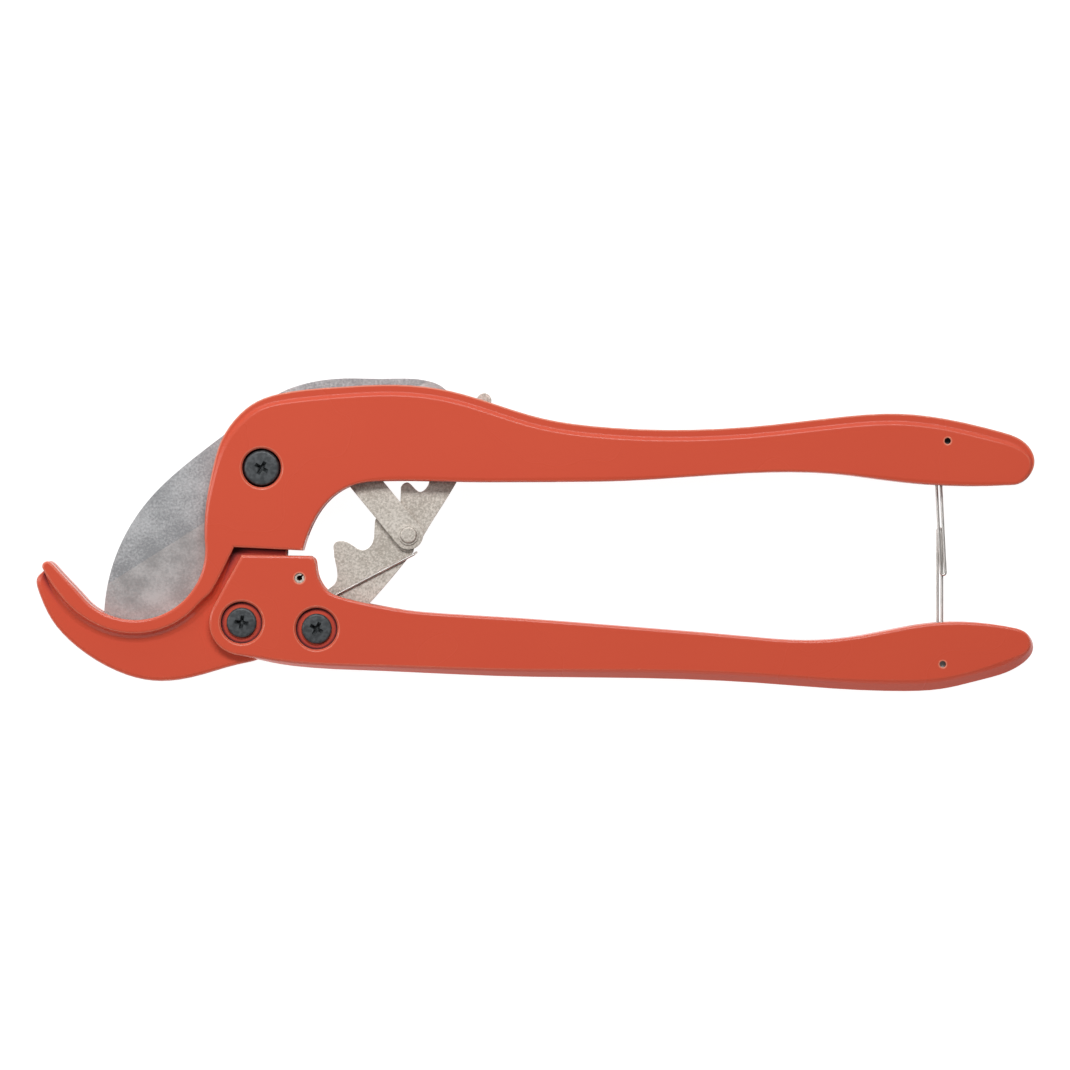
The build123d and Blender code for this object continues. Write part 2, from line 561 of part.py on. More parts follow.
def link_rivet():
    """Rivet with a flush rear head; its front head stands on a flange over the link."""
    low = MIDDLE - BAR_THICKNESS / 2
    seat = LINK_HIGH + SIDE_PLAY / 2
    rivet = disc(LINK_RIVET_AT, RIVET_SHANK / 2, low, seat)
    rivet += disc(LINK_RIVET_AT, RIVET_HEAD / 2, low - RIVET_HEAD_HEIGHT, low)
    rivet += disc(LINK_RIVET_AT, RIVET_FLANGE / 2, seat, seat + RIVET_FLANGE_HEIGHT)
    head = disc(LINK_RIVET_AT, RIVET_HEAD / 2, seat, LINK_HIGH + RIVET_HEAD_HEIGHT)
    rim = head.edges().filter_by(GeomType.CIRCLE).sort_by(Axis.Z)[-1]
    return rivet + fillet(rim, 0.5)


def link_pin():
    """Pin riveted into the link; its head keeps the blade tail against the link."""
    low = MIDDLE - BLADE_THICKNESS / 2
    pin = disc(LINK_PIN_AT, LINK_PIN_DIAMETER / 2, low - BLADE_GAP, LINK_LOW)
    pin += disc(LINK_PIN_AT, LINK_PIN_DIAMETER / 2 - 0.8, LINK_LOW, LINK_HIGH)
    return pin + disc(LINK_PIN_AT, LINK_PIN_DIAMETER / 2 + 1.6, low - BLADE_GAP - 1.4, low - BLADE_GAP)


# Pins and wires
def slotted_pin(centre, diameter, bore, gap):
    """Rolled spring pin in a blind hole of the fork, its seam at the upper right."""
    top = FRONT - 0.6
    pin = disc(centre, diameter / 2, ROLL_PIN_FLOOR, top) - disc(centre, bore / 2, -1, FRONT + 1)
    seam = Pos(centre.X, centre.Y, MIDDLE) * Rot(0, 0, -45) * Pos(0, diameter / 2, 0)
    return pin - seam * Box(gap, diameter, FRONT + 2)


def plain_pin(centre, diameter):
    return disc(centre, diameter / 2, LATCH_PIN_BELOW_FACE, FRONT - LATCH_PIN_BELOW_FACE)


def bar_spring():
    """Torsion spring round the bar pivot: the long leg hooks the bar, the short leg bears on the pin."""
    r = SPRING_COIL_RADIUS
    wire = SPRING_WIRE / 2
    z = MIDDLE + BAR_THICKNESS / 2 + SPRING_WIRE
    arm = SPRING_HOOK_AT - BAR_PIVOT
    start_angle = degrees(atan2(arm.Y, arm.X) + acos(r / arm.length))
    start = polar(BAR_PIVOT, r, start_angle)
    long_leg = rod((start.X, start.Y, z), (SPRING_HOOK_AT.X, SPRING_HOOK_AT.Y, z), wire)
    over = SPRING_HOOK_AT + arm.normalized() * 1.5
    hook = rod((SPRING_HOOK_AT.X, SPRING_HOOK_AT.Y, z), (over.X, over.Y, MIDDLE + wire), wire)
    pin_arm = ROLL_PIN_AT - BAR_PIVOT
    reach = r + ROLL_PIN_DIAMETER / 2 + wire + SIDE_PLAY
    end_angle = degrees(atan2(pin_arm.Y, pin_arm.X) - acos(reach / pin_arm.length))
    turn = SPRING_TURNS * 360 + (end_angle - start_angle) % 360
    rise = SPRING_PITCH * turn / 360
    coil_path = Helix(SPRING_PITCH, rise, r)
    section = Plane(origin=coil_path @ 0, z_dir=coil_path % 0) * Circle(wire)
    coil = Pos(BAR_PIVOT.X, BAR_PIVOT.Y, z) * Rot(0, 0, start_angle) * sweep(section, path=coil_path)
    end = polar(BAR_PIVOT, r, end_angle)
    run = sqrt(pin_arm.length ** 2 - reach ** 2) + ROLL_PIN_DIAMETER
    stop = polar(end, run, end_angle + 90)
    short_leg = rod((end.X, end.Y, z + rise), (stop.X, stop.Y, z + rise), wire)
    return long_leg + hook + coil + short_leg


def rod(start, end, radius):
    """Round rod between two points with ball ends."""
    a = Vector(*start)
    b = Vector(*end)
    along = Plane(origin=a, z_dir=(b - a))
    bar = along * Cylinder(radius, (b - a).length, align=(Align.CENTER, Align.CENTER, Align.MIN))
    return bar + Pos(a.X, a.Y, a.Z) * Sphere(radius) + Pos(b.X, b.Y, b.Z) * Sphere(radius)


def latch_wire(pin, waist, tip, z):
    """Closed wire loop: a round eye over the pin, two close legs and a tight end."""
    eye = LATCH_PIN_DIAMETER / 2 + RUNNING_FIT + LATCH_WIRE / 2
    half = LATCH_LEG_GAP / 2
    up = 1 if pin.Y > tip.Y else -1
    corners = [
        (pin.X - eye, pin.Y + up * eye, z), (pin.X + eye, pin.Y + up * eye, z),
        (pin.X + eye, pin.Y - up * 1.5, z), (waist.X + half, waist.Y, z), (tip.X + half, tip.Y - up * half, z),
        (tip.X - half, tip.Y - up * half, z), (waist.X - half, waist.Y, z), (pin.X - eye, pin.Y - up * 1.5, z),
    ]
    radii = [eye * 0.98, eye * 0.98, 3.0, 12.0, half * 0.98, half * 0.98, 12.0, 3.0]
    path = FilletPolyline(*corners, radius=radii, close=True)
    profile = Plane(origin=path @ 0, z_dir=path % 0) * Circle(LATCH_WIRE / 2)
    return sweep(profile, path=path)


def build():
    web_low = MIDDLE - WEB_THICKNESS / 2 - FORK_CLEARANCE
    web_high = MIDDLE + WEB_THICKNESS / 2 + FORK_CLEARANCE
    bar_low = MIDDLE - BAR_THICKNESS / 2
    bar_high = MIDDLE + BAR_THICKNESS / 2
    origin = Vector(0, 0)
    level = LATCH_WIRE * 0.75
    return {
        "body_casting": body_casting(),
        "lower_handle": lower_handle(),
        "blade": blade(),
        "feed_bar": feed_bar(),
        "pull_link": pull_link(),
        "link_rivet": link_rivet(),
        "link_pin": link_pin(),
        "blade_pivot_sleeve": pivot_sleeve(origin, BLADE_SCREW_HEAD, BLADE_RECESS_DEPTH),
        "blade_pivot_screw": pivot_screw(origin, BLADE_SCREW_HEAD, BLADE_RECESS_DEPTH, 60),
        "handle_pivot_sleeve": pivot_sleeve(HANDLE_PIVOT, HANDLE_SCREW_HEAD, HANDLE_RECESS_DEPTH),
        "handle_pivot_screw": pivot_screw(HANDLE_PIVOT, HANDLE_SCREW_HEAD, HANDLE_RECESS_DEPTH, -8),
        "bar_pivot_sleeve": pivot_sleeve(BAR_PIVOT, HANDLE_SCREW_HEAD, HANDLE_RECESS_DEPTH),
        "bar_pivot_screw": pivot_screw(BAR_PIVOT, HANDLE_SCREW_HEAD, HANDLE_RECESS_DEPTH, -28),
        "bar_spacer_front": bar_spacer(bar_high + SIDE_PLAY / 2, web_high - SIDE_PLAY / 2),
        "bar_spacer_rear": bar_spacer(web_low + SIDE_PLAY / 2, bar_low - SIDE_PLAY / 2),
        "bar_spring": bar_spring(),
        "spring_roll_pin": slotted_pin(ROLL_PIN_AT, ROLL_PIN_DIAMETER, ROLL_PIN_BORE, ROLL_PIN_GAP),
        "upper_latch_pin": plain_pin(UPPER_LATCH_PIN_AT, LATCH_PIN_DIAMETER),
        "lower_latch_pin": plain_pin(LOWER_LATCH_PIN_AT, LATCH_PIN_DIAMETER),
        "upper_latch_loop": latch_wire(UPPER_LATCH_PIN_AT, Vector(302.2, -7.0), Vector(304.3, -46.6), MIDDLE + level),
        "lower_latch_loop": latch_wire(LOWER_LATCH_PIN_AT, Vector(302.8, -69.0), Vector(302.8, -28.1), MIDDLE - level),
    }


def on_base(pieces):
    """Shift that puts the zero at the middle of the rear face of the whole tool."""
    boxes = [piece.bounding_box() for piece in pieces.values()]
    low = Vector(*(min(getattr(box.min, axis) for box in boxes) for axis in "XYZ"))
    high = Vector(*(max(getattr(box.max, axis) for box in boxes) for axis in "XYZ"))
    print("size", [round(side, 2) for side in high - low])
    return Pos(-(low.X + high.X) / 2, -(low.Y + high.Y) / 2, -low.Z)


pieces = build()
to_base = on_base(pieces)
for name, piece in pieces.items():
    export_step(to_base * piece, f"parts/{name}.step")
for name, spot in (("blade pivot", Vector(0, 0)), ("handle pivot", HANDLE_PIVOT), ("bar pivot", BAR_PIVOT),
                   ("link rivet", LINK_RIVET_AT), ("upper latch pin", UPPER_LATCH_PIN_AT),
                   ("lower latch pin", LOWER_LATCH_PIN_AT)):
    placed = (to_base * Pos(spot.X, spot.Y, MIDDLE)).position
    print(name, [round(value, 3) for value in placed])
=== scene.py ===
import math

import bpy
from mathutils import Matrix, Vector


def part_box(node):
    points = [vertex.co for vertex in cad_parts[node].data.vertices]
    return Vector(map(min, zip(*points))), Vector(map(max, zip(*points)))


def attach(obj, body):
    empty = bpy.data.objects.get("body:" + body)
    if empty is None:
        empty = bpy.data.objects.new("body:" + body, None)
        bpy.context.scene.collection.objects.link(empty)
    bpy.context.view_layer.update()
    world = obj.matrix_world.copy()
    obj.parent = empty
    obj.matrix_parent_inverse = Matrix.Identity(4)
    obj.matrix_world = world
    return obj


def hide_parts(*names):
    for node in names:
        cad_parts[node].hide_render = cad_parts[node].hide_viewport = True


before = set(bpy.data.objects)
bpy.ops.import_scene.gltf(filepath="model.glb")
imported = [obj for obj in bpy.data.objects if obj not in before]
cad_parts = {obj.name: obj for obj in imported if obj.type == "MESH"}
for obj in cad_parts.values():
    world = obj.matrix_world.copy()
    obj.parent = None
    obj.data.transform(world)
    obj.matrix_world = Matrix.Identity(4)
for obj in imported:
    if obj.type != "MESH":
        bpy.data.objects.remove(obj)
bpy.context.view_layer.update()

scene = bpy.context.scene
scene.view_settings.view_transform = "Standard"

# Studio: the tool lies on a table in a pale room and is seen straight from above.
# The photograph spans 1070 px of 0.446 mm, measured at the height of the handles' bevels.
PIXEL = 0.446e-3
VIEW_SPAN = 1070 * PIXEL
VIEW_MIDDLE = (0.008e-3, -0.192e-3)
BEVEL_LEVEL = 0.019
LENS = 200.0
SENSOR = 36.0
FARTHEST_SEEN = 20.0

camera = bpy.data.objects.new("camera", bpy.data.cameras.new("camera"))
scene.collection.objects.link(camera)
camera.data.lens = LENS
camera.data.sensor_width = SENSOR
camera.data.clip_end = FARTHEST_SEEN
camera.location = (*VIEW_MIDDLE, BEVEL_LEVEL + VIEW_SPAN / 2 * LENS / (SENSOR / 2))
scene.camera = camera


def softbox(name, place, size, power):
    """Large rectangular lamp that looks at the middle of the tool."""
    lamp = bpy.data.lights.new(name, "AREA")
    lamp.shape = "RECTANGLE"
    lamp.size, lamp.size_y = size
    lamp.energy = power
    holder = bpy.data.objects.new(name, lamp)
    scene.collection.objects.link(holder)
    holder.location = place
    holder.rotation_mode = "QUATERNION"
    holder.rotation_quaternion = (Vector((0, 0, 0)) - Vector(place)).to_track_quat("-Z", "Y")


# The key lamp stands beyond the upper handle, so the edges that face away from the user catch it.
# Two low lamps put a sheen on the bevels, and a narrow one lights the edges that face the jaw's tip.
KEY_PLACE = (0.0, 0.85, 1.3)
KEY_SIZE = (1.0, 0.35)
KEY_POWER = 17.0
SHEEN_DISTANCE = 1.5
SHEEN_HEIGHT = 0.35
SHEEN_SIZE = (2.4, 0.6)
SHEEN_POWER = 5.0
RIM_PLACE = (-1.15, 0.2, 0.9)
RIM_SIZE = (0.15, 1.2)
RIM_POWER = 6.0
ROOM_LIGHT = 0.16

softbox("key_beyond_the_upper_handle", KEY_PLACE, KEY_SIZE, KEY_POWER)
softbox("sheen_beyond_the_upper_handle", (0.0, SHEEN_DISTANCE, SHEEN_HEIGHT), SHEEN_SIZE, SHEEN_POWER)
softbox("sheen_below_the_lower_handle", (0.0, -SHEEN_DISTANCE, SHEEN_HEIGHT), SHEEN_SIZE, SHEEN_POWER)
softbox("rim_beyond_the_jaw", RIM_PLACE, RIM_SIZE, RIM_POWER)

room = bpy.data.worlds.new("pale_room")
room.use_nodes = True
backdrop = room.node_tree.nodes["Background"]
backdrop.inputs["Color"].default_value = (1, 1, 1, 1)
backdrop.inputs["Strength"].default_value = ROOM_LIGHT
scene.world = room

# Table: a white laminate board under the tool, on the stage and no part of it.
# It glows enough to leave only a breath of shadow round the tool.
TABLE_SIZE = 6.0
TABLE_GREY = (0.2, 0.2, 0.2, 1)
TABLE_GLOW = 0.97

# A Mix node's colour sockets share their names with others, so they go by number.
MIX_FACTOR = 0
MIX_FIRST = 6
MIX_SECOND = 7
MIX_COLOUR = 2


class Link:
    """One output of a node in a tree, with sums and products written as plain Python."""

    def __init__(self, tree, socket=None):
        self.tree = tree
        self.socket = socket

    def node(self, kind, settings=None, inputs=None, out=0):
        """New node: its settings first, then the values or links of its inputs."""
        made = self.tree.nodes.new(kind)
        for name, value in (settings or {}).items():
            setattr(made, name, value)
        for key, value in (inputs or {}).items():
            for single in value if isinstance(value, list) else [value]:
                if isinstance(single, Link):
                    self.tree.links.new(single.socket, made.inputs[key])
                else:
                    made.inputs[key].default_value = single
        return Link(self.tree, made.outputs[out])

    def math(self, operation, *values):
        return self.node("ShaderNodeMath", {"operation": operation}, dict(enumerate(values)))

    def __add__(self, other):
        return self.math("ADD", self, other)

    def __mul__(self, other):
        return self.math("MULTIPLY", self, other)

    def __sub__(self, other):
        return self.math("SUBTRACT", self, other)

    def __rsub__(self, other):
        return self.math("SUBTRACT", other, self)

    __radd__ = __add__
    __rmul__ = __mul__

    def step(self, low, high):
        """0 below low, 1 above high and smooth between."""
        return self.node("ShaderNodeMapRange", {"interpolation_type": "SMOOTHSTEP"},
                         {"Value": self, "From Min": low, "From Max": high})

    def mixed(self, first, second):
        """Colour that goes from the first to the second as this goes from 0 to 1."""
        return self.node("ShaderNodeMix", {"data_type": "RGBA"},
                         {MIX_FACTOR: self, MIX_FIRST: first, MIX_SECOND: second}, out=MIX_COLOUR)


def finish_of(name, **fixed):
    """New material: itself, its first link, its surface node and the place on the piece."""
    material = bpy.data.materials.new(name)
    material.use_nodes = True
    link = Link(material.node_tree)
    surface = material.node_tree.nodes["Principled BSDF"]
    for key, value in fixed.items():
        surface.inputs[key.replace("_", " ")].default_value = value
    place = link.node("ShaderNodeTexCoord", out="Object")
    return material, link, surface, place


bpy.ops.mesh.primitive_plane_add(size=TABLE_SIZE)
table = bpy.context.object
table.name = "table"
laminate = finish_of("laminate", Base_Color=TABLE_GREY, Roughness=0.8, Specular_IOR_Level=0.1,
                     Emission_Color=(1, 1, 1, 1), Emission_Strength=TABLE_GLOW)[0]
table.data.materials.append(laminate)

# Castings: die-cast aluminium under satin orange-red powder paint with a fine orange peel.
# Along every edge the colour is pale, partly as thin paint, most where it is nibbled, and partly as a
# painted highlight.
# In a casting's own gaps and recesses the colour is darkened as painted shade, and the paint is duller
# there.
RED = (0.64, 0.082, 0.044, 1)
WARM_RED = (0.66, 0.092, 0.044, 1)
SHADED_RED = (0.44, 0.024, 0.03, 1)
DEEP_SHADE_RED = (0.075, 0.004, 0.005, 1)
THIN_PAINT_AND_HIGHLIGHT = (0.95, 0.44, 0.3, 1)
CLOUDS_PER_METRE = 16
PEEL_PER_METRE = 800
PEEL_HEIGHT = 6e-6
NIBBLES_PER_METRE = 210
NIBBLE_STEP = (0.6, 0.66)
EDGE_WIDTH = 0.9e-3
EDGE_OPENNESS = (0.86, 0.95)
EDGE_WEAR_AND_HIGHLIGHT = 0.38
NIBBLE_WEAR = 0.4
NOOK_REACH = 9e-3
NOOK_SHADE_OPENNESS = (0.6, 0.88)
DEEP_SHADE_OPENNESS = (0.57, 0.74)
PAINT_ROUND = 0.8e-3
PAINT_ROUGHNESS = 0.24
CLOUD_ROUGHNESS = 0.06
NOOK_ROUGHNESS = 0.4


def wire_up(link, surface, **linked):
    for key, value in linked.items():
        link.tree.links.new(value.socket, surface.inputs[key.replace("_", " ")])


def grain(link, place, per_metre, detail=2.0, rough=0.5):
    """Noise of so many cells per metre, from 0 to 1, on the piece's own coordinates."""
    return link.node("ShaderNodeTexNoise", None,
                     {"Vector": place, "Scale": per_metre, "Detail": detail, "Roughness": rough})


def bumped(link, height, depth):
    """Normal of a surface whose height, from 0 to 1, is worth so many metres."""
    return link.node("ShaderNodeBump", None, {"Height": height, "Distance": depth, "Strength": 1.0})


def nook_mask(link, reach, openness, inside=False):
    """1 in a piece's own grooves and recesses and 0 on open ground, by how open it is within reach.

    Looked at from inside the piece, it is 1 along the edges instead.
    """
    free = link.node("ShaderNodeAmbientOcclusion", {"samples": 16, "only_local": True, "inside": inside},
                     {"Distance": reach}, out="AO")
    return 1 - free.step(*openness)


def rounded_normal(link, radius, normal):
    """Normal that turns smoothly round every sharp edge, as paint and tumbling round it."""
    return link.node("ShaderNodeBevel", {"samples": 8}, {"Radius": radius, "Normal": normal})


def dress(material, *names):
    for name in names:
        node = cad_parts[name]
        node.data.materials.clear()
        node.data.materials.append(material)


red_paint, link, surface, place = finish_of("red_paint", Specular_IOR_Level=0.35)
cloud = grain(link, place, CLOUDS_PER_METRE)
peel = grain(link, place, PEEL_PER_METRE, detail=1)
nibble = grain(link, place, NIBBLES_PER_METRE, detail=3, rough=0.7).step(*NIBBLE_STEP)
# Pale edges: partly thin, nibbled paint and partly a painted highlight along every edge.
edge_wear_and_highlight = nook_mask(link, EDGE_WIDTH, EDGE_OPENNESS, inside=True)
# Painted shade: the colour darkens to shaded and deep red in the casting's own grooves, gaps and recesses.
painted_shade_in_nooks = nook_mask(link, NOOK_REACH, NOOK_SHADE_OPENNESS)
painted_deep_shade = nook_mask(link, NOOK_REACH, DEEP_SHADE_OPENNESS)
coat = painted_deep_shade.mixed(painted_shade_in_nooks.mixed(cloud.mixed(RED, WARM_RED), SHADED_RED), DEEP_SHADE_RED)
wire_up(link, surface,
        Base_Color=(edge_wear_and_highlight * (EDGE_WEAR_AND_HIGHLIGHT + NIBBLE_WEAR * nibble)).mixed(coat, THIN_PAINT_AND_HIGHLIGHT),
        Roughness=PAINT_ROUGHNESS + CLOUD_ROUGHNESS * cloud + NOOK_ROUGHNESS * painted_shade_in_nooks,
        Normal=rounded_normal(link, PAINT_ROUND, bumped(link, peel, PEEL_HEIGHT)))
dress(red_paint, "body_casting", "lower_handle")

# Blade: tool steel plate with a matt grain, which turns on its sleeve in the slot of the body casting.
# Below a diagonal line it is ground finer and paler, and the plate darkens a little towards that line.
STEEL = (0.3, 0.305, 0.315, 1)
BRIGHT_STEEL = (0.55, 0.555, 0.565, 1)
BEVEL_STEEL = (0.66, 0.645, 0.64, 1)
BEVEL_SHADE = (0.4, 0.39, 0.388, 1)
BLADE_GRAIN_PER_METRE = 950
BLADE_PATCHES_PER_METRE = 80
BLADE_GRAIN_HEIGHT = 9e-6
LINE_START_FROM_PIVOT = (-69.1e-3, -51.7e-3, 0)
LINE_END_FROM_PIVOT = (-26.3e-3, -24.5e-3, 0)
LINE_BLUR = (-0.15e-3, 0.25e-3)
DARKER_BAND_WIDTH = 9e-3
BAND_DARKENING = 0.06
PLATE_GRAIN_SHARE = 0.65
PLATE_CONTRAST = (0.36, 0.64)
BEVEL_GRAIN_SHARE = 0.4
BEVEL_CONTRAST = (0.34, 0.66)
BEVEL_SMOOTHING = 0.6
BLADE_ROUGHNESS = 0.44
BLADE_GRAIN_ROUGHNESS = 0.12
BEVEL_SHINE = 0.03

screw_low, screw_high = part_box("blade_pivot_screw")
blade_pivot = Vector(((screw_low[0] + screw_high[0]) / 2, (screw_low[1] + screw_high[1]) / 2, 0))
line_start = blade_pivot + Vector(LINE_START_FROM_PIVOT)
line_end = blade_pivot + Vector(LINE_END_FROM_PIVOT)
line_way = (line_end - line_start).normalized()
line_down = Vector((line_way.y, -line_way.x, 0))

blade_steel, link, surface, place = finish_of("blade_steel", Metallic=0.7)
fine = grain(link, place, BLADE_GRAIN_PER_METRE, detail=3, rough=0.75)
patches = grain(link, place, BLADE_PATCHES_PER_METRE, detail=3)
below_line = link.node("ShaderNodeVectorMath", {"operation": "DOT_PRODUCT"},
                       {0: place, 1: tuple(line_down)}, out="Value") - line_start.dot(line_down)
ground = below_line.step(*LINE_BLUR)
darker_band = below_line.step(-DARKER_BAND_WIDTH, 0.0)
flat = PLATE_GRAIN_SHARE * fine + (1 - PLATE_GRAIN_SHARE) * patches - BAND_DARKENING * darker_band
fresh = BEVEL_GRAIN_SHARE * fine + (1 - BEVEL_GRAIN_SHARE) * patches
flat_colour = flat.step(*PLATE_CONTRAST).mixed(STEEL, BRIGHT_STEEL)
fresh_colour = fresh.step(*BEVEL_CONTRAST).mixed(BEVEL_SHADE, BEVEL_STEEL)
wire_up(link, surface,
        Base_Color=ground.mixed(flat_colour, fresh_colour),
        Roughness=BLADE_ROUGHNESS + BLADE_GRAIN_ROUGHNESS * fine - BEVEL_SHINE * ground,
        Normal=bumped(link, fine * (1 - BEVEL_SMOOTHING * ground), BLADE_GRAIN_HEIGHT))
dress(blade_steel, "blade")

# Feed bar and pull link: stamped steel strip, tumbled and dull plated, with painted shade darkening its own
# corners.
# The link's rivet and pin, the bar's two spacers and the spring's roll pin have the same plating.
PLATED = (0.45, 0.405, 0.35, 1)
PLATED_PALE = (0.76, 0.71, 0.645, 1)
PLATED_SHADE = (0.12, 0.105, 0.09, 1)
SPECKS_PER_METRE = 1100
SPECK_HEIGHT = 10e-6
WASH_PER_METRE = 60
CORNER_REACH = 1.2e-3
CORNER_OPENNESS = (0.45, 0.85)
TUMBLED_ROUND = 0.35e-3
SPECK_SHARE = 0.75
PLATED_CONTRAST = (0.37, 0.63)
PLATED_ROUGHNESS = 0.45
SPECK_ROUGHNESS = 0.12

plated_steel, link, surface, place = finish_of("plated_steel", Metallic=0.6)
speck = grain(link, place, SPECKS_PER_METRE, detail=3, rough=0.7)
wash = grain(link, place, WASH_PER_METRE)
tumbled = (SPECK_SHARE * speck + (1 - SPECK_SHARE) * wash).step(*PLATED_CONTRAST).mixed(PLATED, PLATED_PALE)
# Painted shade: the plating darkens in the piece's own corners.
wire_up(link, surface,
        Base_Color=nook_mask(link, CORNER_REACH, CORNER_OPENNESS).mixed(tumbled, PLATED_SHADE),
        Roughness=PLATED_ROUGHNESS + SPECK_ROUGHNESS * speck,
        Normal=rounded_normal(link, TUMBLED_ROUND, bumped(link, speck, SPECK_HEIGHT)))
dress(plated_steel, "feed_bar", "pull_link", "link_rivet", "link_pin",
      "bar_spacer_front", "bar_spacer_rear", "spring_roll_pin")

# Pivot sleeves: turned steel with a head at the rear, and a thread inside for the screw from the front.
# They and the upper latch pin have a black oxide finish.
BLACK = (0.045, 0.05, 0.054, 1)
GREY = (0.085, 0.093, 0.099, 1)
MOTTLES_PER_METRE = 650
MOTTLE_HEIGHT = 8e-6
BLACK_CONTRAST = (0.35, 0.68)
BLACK_ROUGHNESS = 0.4
MOTTLE_ROUGHNESS = 0.16

black_steel, link, surface, place = finish_of("black_steel", Metallic=0.35)
mottle = grain(link, place, MOTTLES_PER_METRE, detail=3)
wire_up(link, surface,
        Base_Color=mottle.step(*BLACK_CONTRAST).mixed(BLACK, GREY),
        Roughness=BLACK_ROUGHNESS + MOTTLE_ROUGHNESS * mottle,
        Normal=bumped(link, mottle, MOTTLE_HEIGHT))
dress(black_steel, "blade_pivot_sleeve", "handle_pivot_sleeve", "bar_pivot_sleeve", "upper_latch_pin")

# Pivot screws: turned pan heads with a rolled rim and a punched cross, black oxide like the sleeves.
# Each is turned from its half profile and then punched; the thread is hidden in the sleeve.
# The punch is two wings and a round pit. A wing is a four-sided cone squeezed flat.
TURNING_STEPS = 72
RIM_STEPS = 6
HOOP_RADIUS = 1e-7
MERGE_DISTANCE = 1e-5
SHARP_ANGLE = 0.6
CROSS_SIZE = 6.5e-3
RIM_ROLL = 1.1e-3
SHANK_RADIUS = 2.45e-3
SHANK_END_ROLL = 0.3e-3

# Shares of the cross's size.
WING_MOUTH = 0.707
WING_FOOT = 0.25
WING_DEPTH = 0.5
PIT_MOUTH = 0.25
PIT_FOOT = 0.07
PIT_DEPTH = 0.56
PUNCH_SINK = 0.49

WING_SQUEEZE = 0.26


def tree_of(name, **inputs):
    """New geometry tree and one link for its curve and for each named input."""
    tree = bpy.data.node_groups.new(name, "GeometryNodeTree")
    tree.interface.new_socket("Curve", in_out="INPUT", socket_type="NodeSocketGeometry")
    for label, kind in inputs.items():
        tree.interface.new_socket(label.replace("_", " "), in_out="INPUT", socket_type="NodeSocket" + kind)
    tree.interface.new_socket("Piece", in_out="OUTPUT", socket_type="NodeSocketGeometry")
    start = tree.nodes.new("NodeGroupInput")
    return tree, [Link(tree, socket) for socket in start.outputs[:-1]]


def end_tree(shape, material):
    """Last nodes of a tree: plain mesh, its material and the way out."""
    plain = shape.node("GeometryNodeRealizeInstances", None, {"Geometry": shape})
    dressed = shape.node("GeometryNodeSetMaterial", None, {"Geometry": plain, "Material": material})
    end = shape.tree.nodes.new("NodeGroupOutput")
    shape.tree.links.new(dressed.socket, end.inputs[0])


def rounded_curve(curve, steps):
    """Poly curve with each corner rounded to the radius that its point carries."""
    bend = curve.node("GeometryNodeInputRadius")
    filleted = curve.node("GeometryNodeFilletCurve", {"mode": "POLY"},
                          {"Curve": curve, "Count": steps, "Radius": bend, "Limit Radius": True})
    return curve.node("GeometryNodeSetCurveRadius", None, {"Curve": filleted, "Radius": 1.0})


def moved(shape, **change):
    """The shape turned, scaled or shifted."""
    return shape.node("GeometryNodeTransform", None, {"Geometry": shape, **change})


def cone(size, mouth, foot, depth, corners):
    """Cone whose radii and depth are shares of a size, wide end up."""
    return size.node("GeometryNodeMeshCone", None,
                     {"Vertices": corners, "Radius Top": size * mouth, "Radius Bottom": size * foot,
                      "Depth": size * depth})


def shaped(name, tree, points, closed=False, **values):
    """Piece that a tree makes of a poly curve of (x, y, z, corner radius); its mesh is plain."""
    curve = bpy.data.curves.new(name, "CURVE")
    curve.dimensions = "3D"
    spline = curve.splines.new("POLY")
    spline.points.add(len(points) - 1)
    spline.use_cyclic_u = closed
    for spot, (x, y, z, bend) in zip(spline.points, points):
        spot.co = (x, y, z, 1)
        spot.radius = bend
    host = bpy.data.objects.new(name + "_curve", curve)
    scene.collection.objects.link(host)
    modifier = host.modifiers.new("shape", "NODES")
    modifier.node_group = tree
    for item in tree.interface.items_tree:
        if item.in_out == "INPUT" and item.name in values:
            modifier[item.identifier] = values[item.name]
    mesh = bpy.data.meshes.new_from_object(host.evaluated_get(bpy.context.evaluated_depsgraph_get()))
    bpy.data.objects.remove(host)
    piece = bpy.data.objects.new(name, mesh)
    scene.collection.objects.link(piece)
    return piece


screw_tree, (profile, centre, cross_top, cross_size, cross_turn, finish) = tree_of(
    "turned_and_punched", Centre="Vector", Cross_top="Float", Cross_size="Float", Cross_turn="Vector",
    Finish="Material")
# The profile is swept round a hoop so small that it closes on the axis.
hoop = profile.node("GeometryNodeCurvePrimitiveCircle", None,
                    {"Resolution": TURNING_STEPS, "Radius": HOOP_RADIUS})
hoop = profile.node("GeometryNodeSetCurveNormal", {"mode": "Z_UP"}, {"Curve": hoop})
turned = profile.node("GeometryNodeCurveToMesh", None,
                      {"Curve": hoop, "Profile Curve": rounded_curve(profile, RIM_STEPS)})
turned = profile.node("GeometryNodeMergeByDistance", None, {"Geometry": turned, "Distance": MERGE_DISTANCE})

punch = []
for quarter in (0.0, math.pi / 2):
    wing = cone(cross_size, WING_MOUTH, WING_FOOT, WING_DEPTH, corners=4)
    wing = moved(moved(wing, Rotation=(0, 0, math.pi / 4)), Scale=(1.0, WING_SQUEEZE, 1.0))
    punch.append(moved(wing, Rotation=(0, 0, quarter)))
punch.append(cone(cross_size, PIT_MOUTH, PIT_FOOT, PIT_DEPTH, corners=24))
sunk = profile.node("ShaderNodeCombineXYZ", None, {"Z": cross_top - cross_size * PUNCH_SINK})
punch = [moved(moved(part, Rotation=cross_turn), Translation=sunk) for part in punch]
punched = profile.node("GeometryNodeMeshBoolean", {"operation": "DIFFERENCE", "solver": "EXACT"},
                       {"Mesh 1": turned, "Mesh 2": punch})

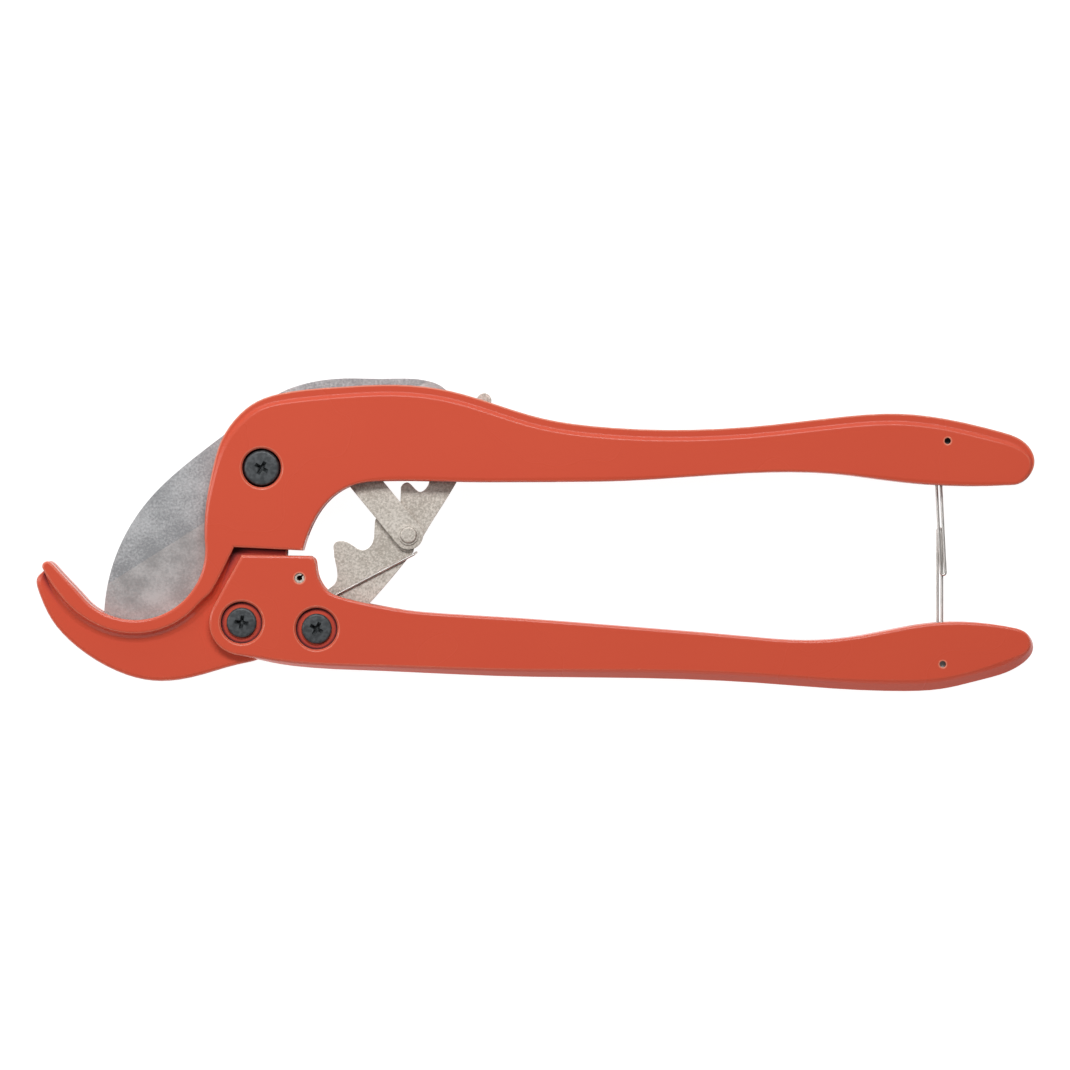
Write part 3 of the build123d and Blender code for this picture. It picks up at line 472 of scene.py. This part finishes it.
edge_angle = profile.node("GeometryNodeInputMeshEdgeAngle")
sharp = edge_angle.math("GREATER_THAN", edge_angle, SHARP_ANGLE)
punched = profile.node("GeometryNodeSetShadeSmooth", {"domain": "FACE"}, {"Geometry": punched})
punched = profile.node("GeometryNodeSetShadeSmooth", {"domain": "EDGE"},
                       {"Geometry": punched, "Selection": sharp, "Shade Smooth": False})
end_tree(moved(punched, Translation=centre), finish)

for node, body, head_height, cross_angle in (
        ("blade_pivot_screw", "body", 4.6e-3, 60), ("handle_pivot_screw", "body", 2.2e-3, -8),
        ("bar_pivot_screw", "lower_handle", 2.2e-3, -28)):
    low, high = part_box(node)
    radius = (high[0] - low[0]) / 2
    base = high[2] - head_height
    # The sweep turns the profile upside down, so its heights are negative.
    half_profile = [
        (0, -low[2], 0, 0),
        (SHANK_RADIUS, -low[2], 0, SHANK_END_ROLL),
        (SHANK_RADIUS, -base, 0, 0),
        (radius, -base, 0, 0),
        (radius, -high[2], 0, RIM_ROLL),
        (0, -high[2], 0, 0),
    ]
    middle = ((low[0] + high[0]) / 2, (low[1] + high[1]) / 2, 0)
    screw = shaped(node + "_turned", screw_tree, half_profile,
                   **{"Centre": middle, "Cross top": high[2], "Cross size": CROSS_SIZE,
                      "Cross turn": (0, 0, math.radians(cross_angle)), "Finish": black_steel})
    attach(screw, body)
    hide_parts(node)

# Bar spring, lower latch pin and latch loops: bright drawn wire, bent or cut to shape.
# Each loop turns by an eye on its own pin, and its two legs are pinched at a waist and joined at the tip.
# The loops are drawn in millimetres from the blade pivot.
BRIGHT = (0.72, 0.7, 0.67, 1)
DULL = (0.52, 0.5, 0.47, 1)
DRAWN_PER_METRE = 1200
SMOKE_PER_METRE = 120
SMOKE_CONTRAST = (0.45, 0.6)
SMOKE_SHARE = 0.5
WIRE_ROUGHNESS = 0.36
DRAWN_ROUGHNESS = 0.12
WIRE_STEPS = 20
BEND_STEPS = 10
WIRE_RADIUS = 0.65e-3
EYE = 2.1
EYE_FOOT = 1.5
EYE_FOOT_BEND = 3.0
LEG_OFFSET = 1.0
WAIST_BEND = 12.0
NEARLY_ROUND = 0.98
MILLIMETRE = 1e-3

drawn_wire, link, surface, place = finish_of("drawn_wire", Metallic=0.85)
drawn = grain(link, place, DRAWN_PER_METRE, detail=1)
smoky = grain(link, place, SMOKE_PER_METRE).step(*SMOKE_CONTRAST)
wire_up(link, surface,
        Base_Color=((1 - SMOKE_SHARE) * drawn + SMOKE_SHARE * smoky).mixed(BRIGHT, DULL),
        Roughness=WIRE_ROUGHNESS + DRAWN_ROUGHNESS * drawn)
dress(drawn_wire, "bar_spring", "lower_latch_pin")

wire_tree, (path, wire_radius, finish) = tree_of("bent_wire", Wire_radius="Float", Finish="Material")
round_section = path.node("GeometryNodeCurvePrimitiveCircle", None,
                          {"Resolution": WIRE_STEPS, "Radius": wire_radius})
bent = path.node("GeometryNodeCurveToMesh", None,
                 {"Curve": rounded_curve(path, BEND_STEPS), "Profile Curve": round_section,
                  "Fill Caps": True})
end_tree(path.node("GeometryNodeSetShadeSmooth", None, {"Geometry": bent}), finish)

for node, body, pin, waist, tip, level in (
        ("upper_latch_loop", "upper_latch", (305.5, 12.0), (302.2, -7.0), (304.3, -46.6), 12.975),
        ("lower_latch_loop", "lower_latch", (303.3, -87.4), (302.8, -69.0), (302.8, -28.1), 11.025)):
    up = 1 if pin[1] > tip[1] else -1
    eye_bend = NEARLY_ROUND * EYE
    tip_bend = NEARLY_ROUND * LEG_OFFSET
    loop = [
        (pin[0] - EYE, pin[1] + up * EYE, eye_bend),
        (pin[0] + EYE, pin[1] + up * EYE, eye_bend),
        (pin[0] + EYE, pin[1] - up * EYE_FOOT, EYE_FOOT_BEND),
        (waist[0] + LEG_OFFSET, waist[1], WAIST_BEND),
        (tip[0] + LEG_OFFSET, tip[1] - up * LEG_OFFSET, tip_bend),
        (tip[0] - LEG_OFFSET, tip[1] - up * LEG_OFFSET, tip_bend),
        (waist[0] - LEG_OFFSET, waist[1], WAIST_BEND),
        (pin[0] - EYE, pin[1] - up * EYE_FOOT, EYE_FOOT_BEND),
    ]
    points = [(blade_pivot.x + x * MILLIMETRE, blade_pivot.y + y * MILLIMETRE, level * MILLIMETRE,
               bend * MILLIMETRE) for x, y, bend in loop]
    latch = shaped(node + "_wire", wire_tree, points, closed=True,
                   **{"Wire radius": WIRE_RADIUS, "Finish": drawn_wire})
    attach(latch, body)
    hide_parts(node)
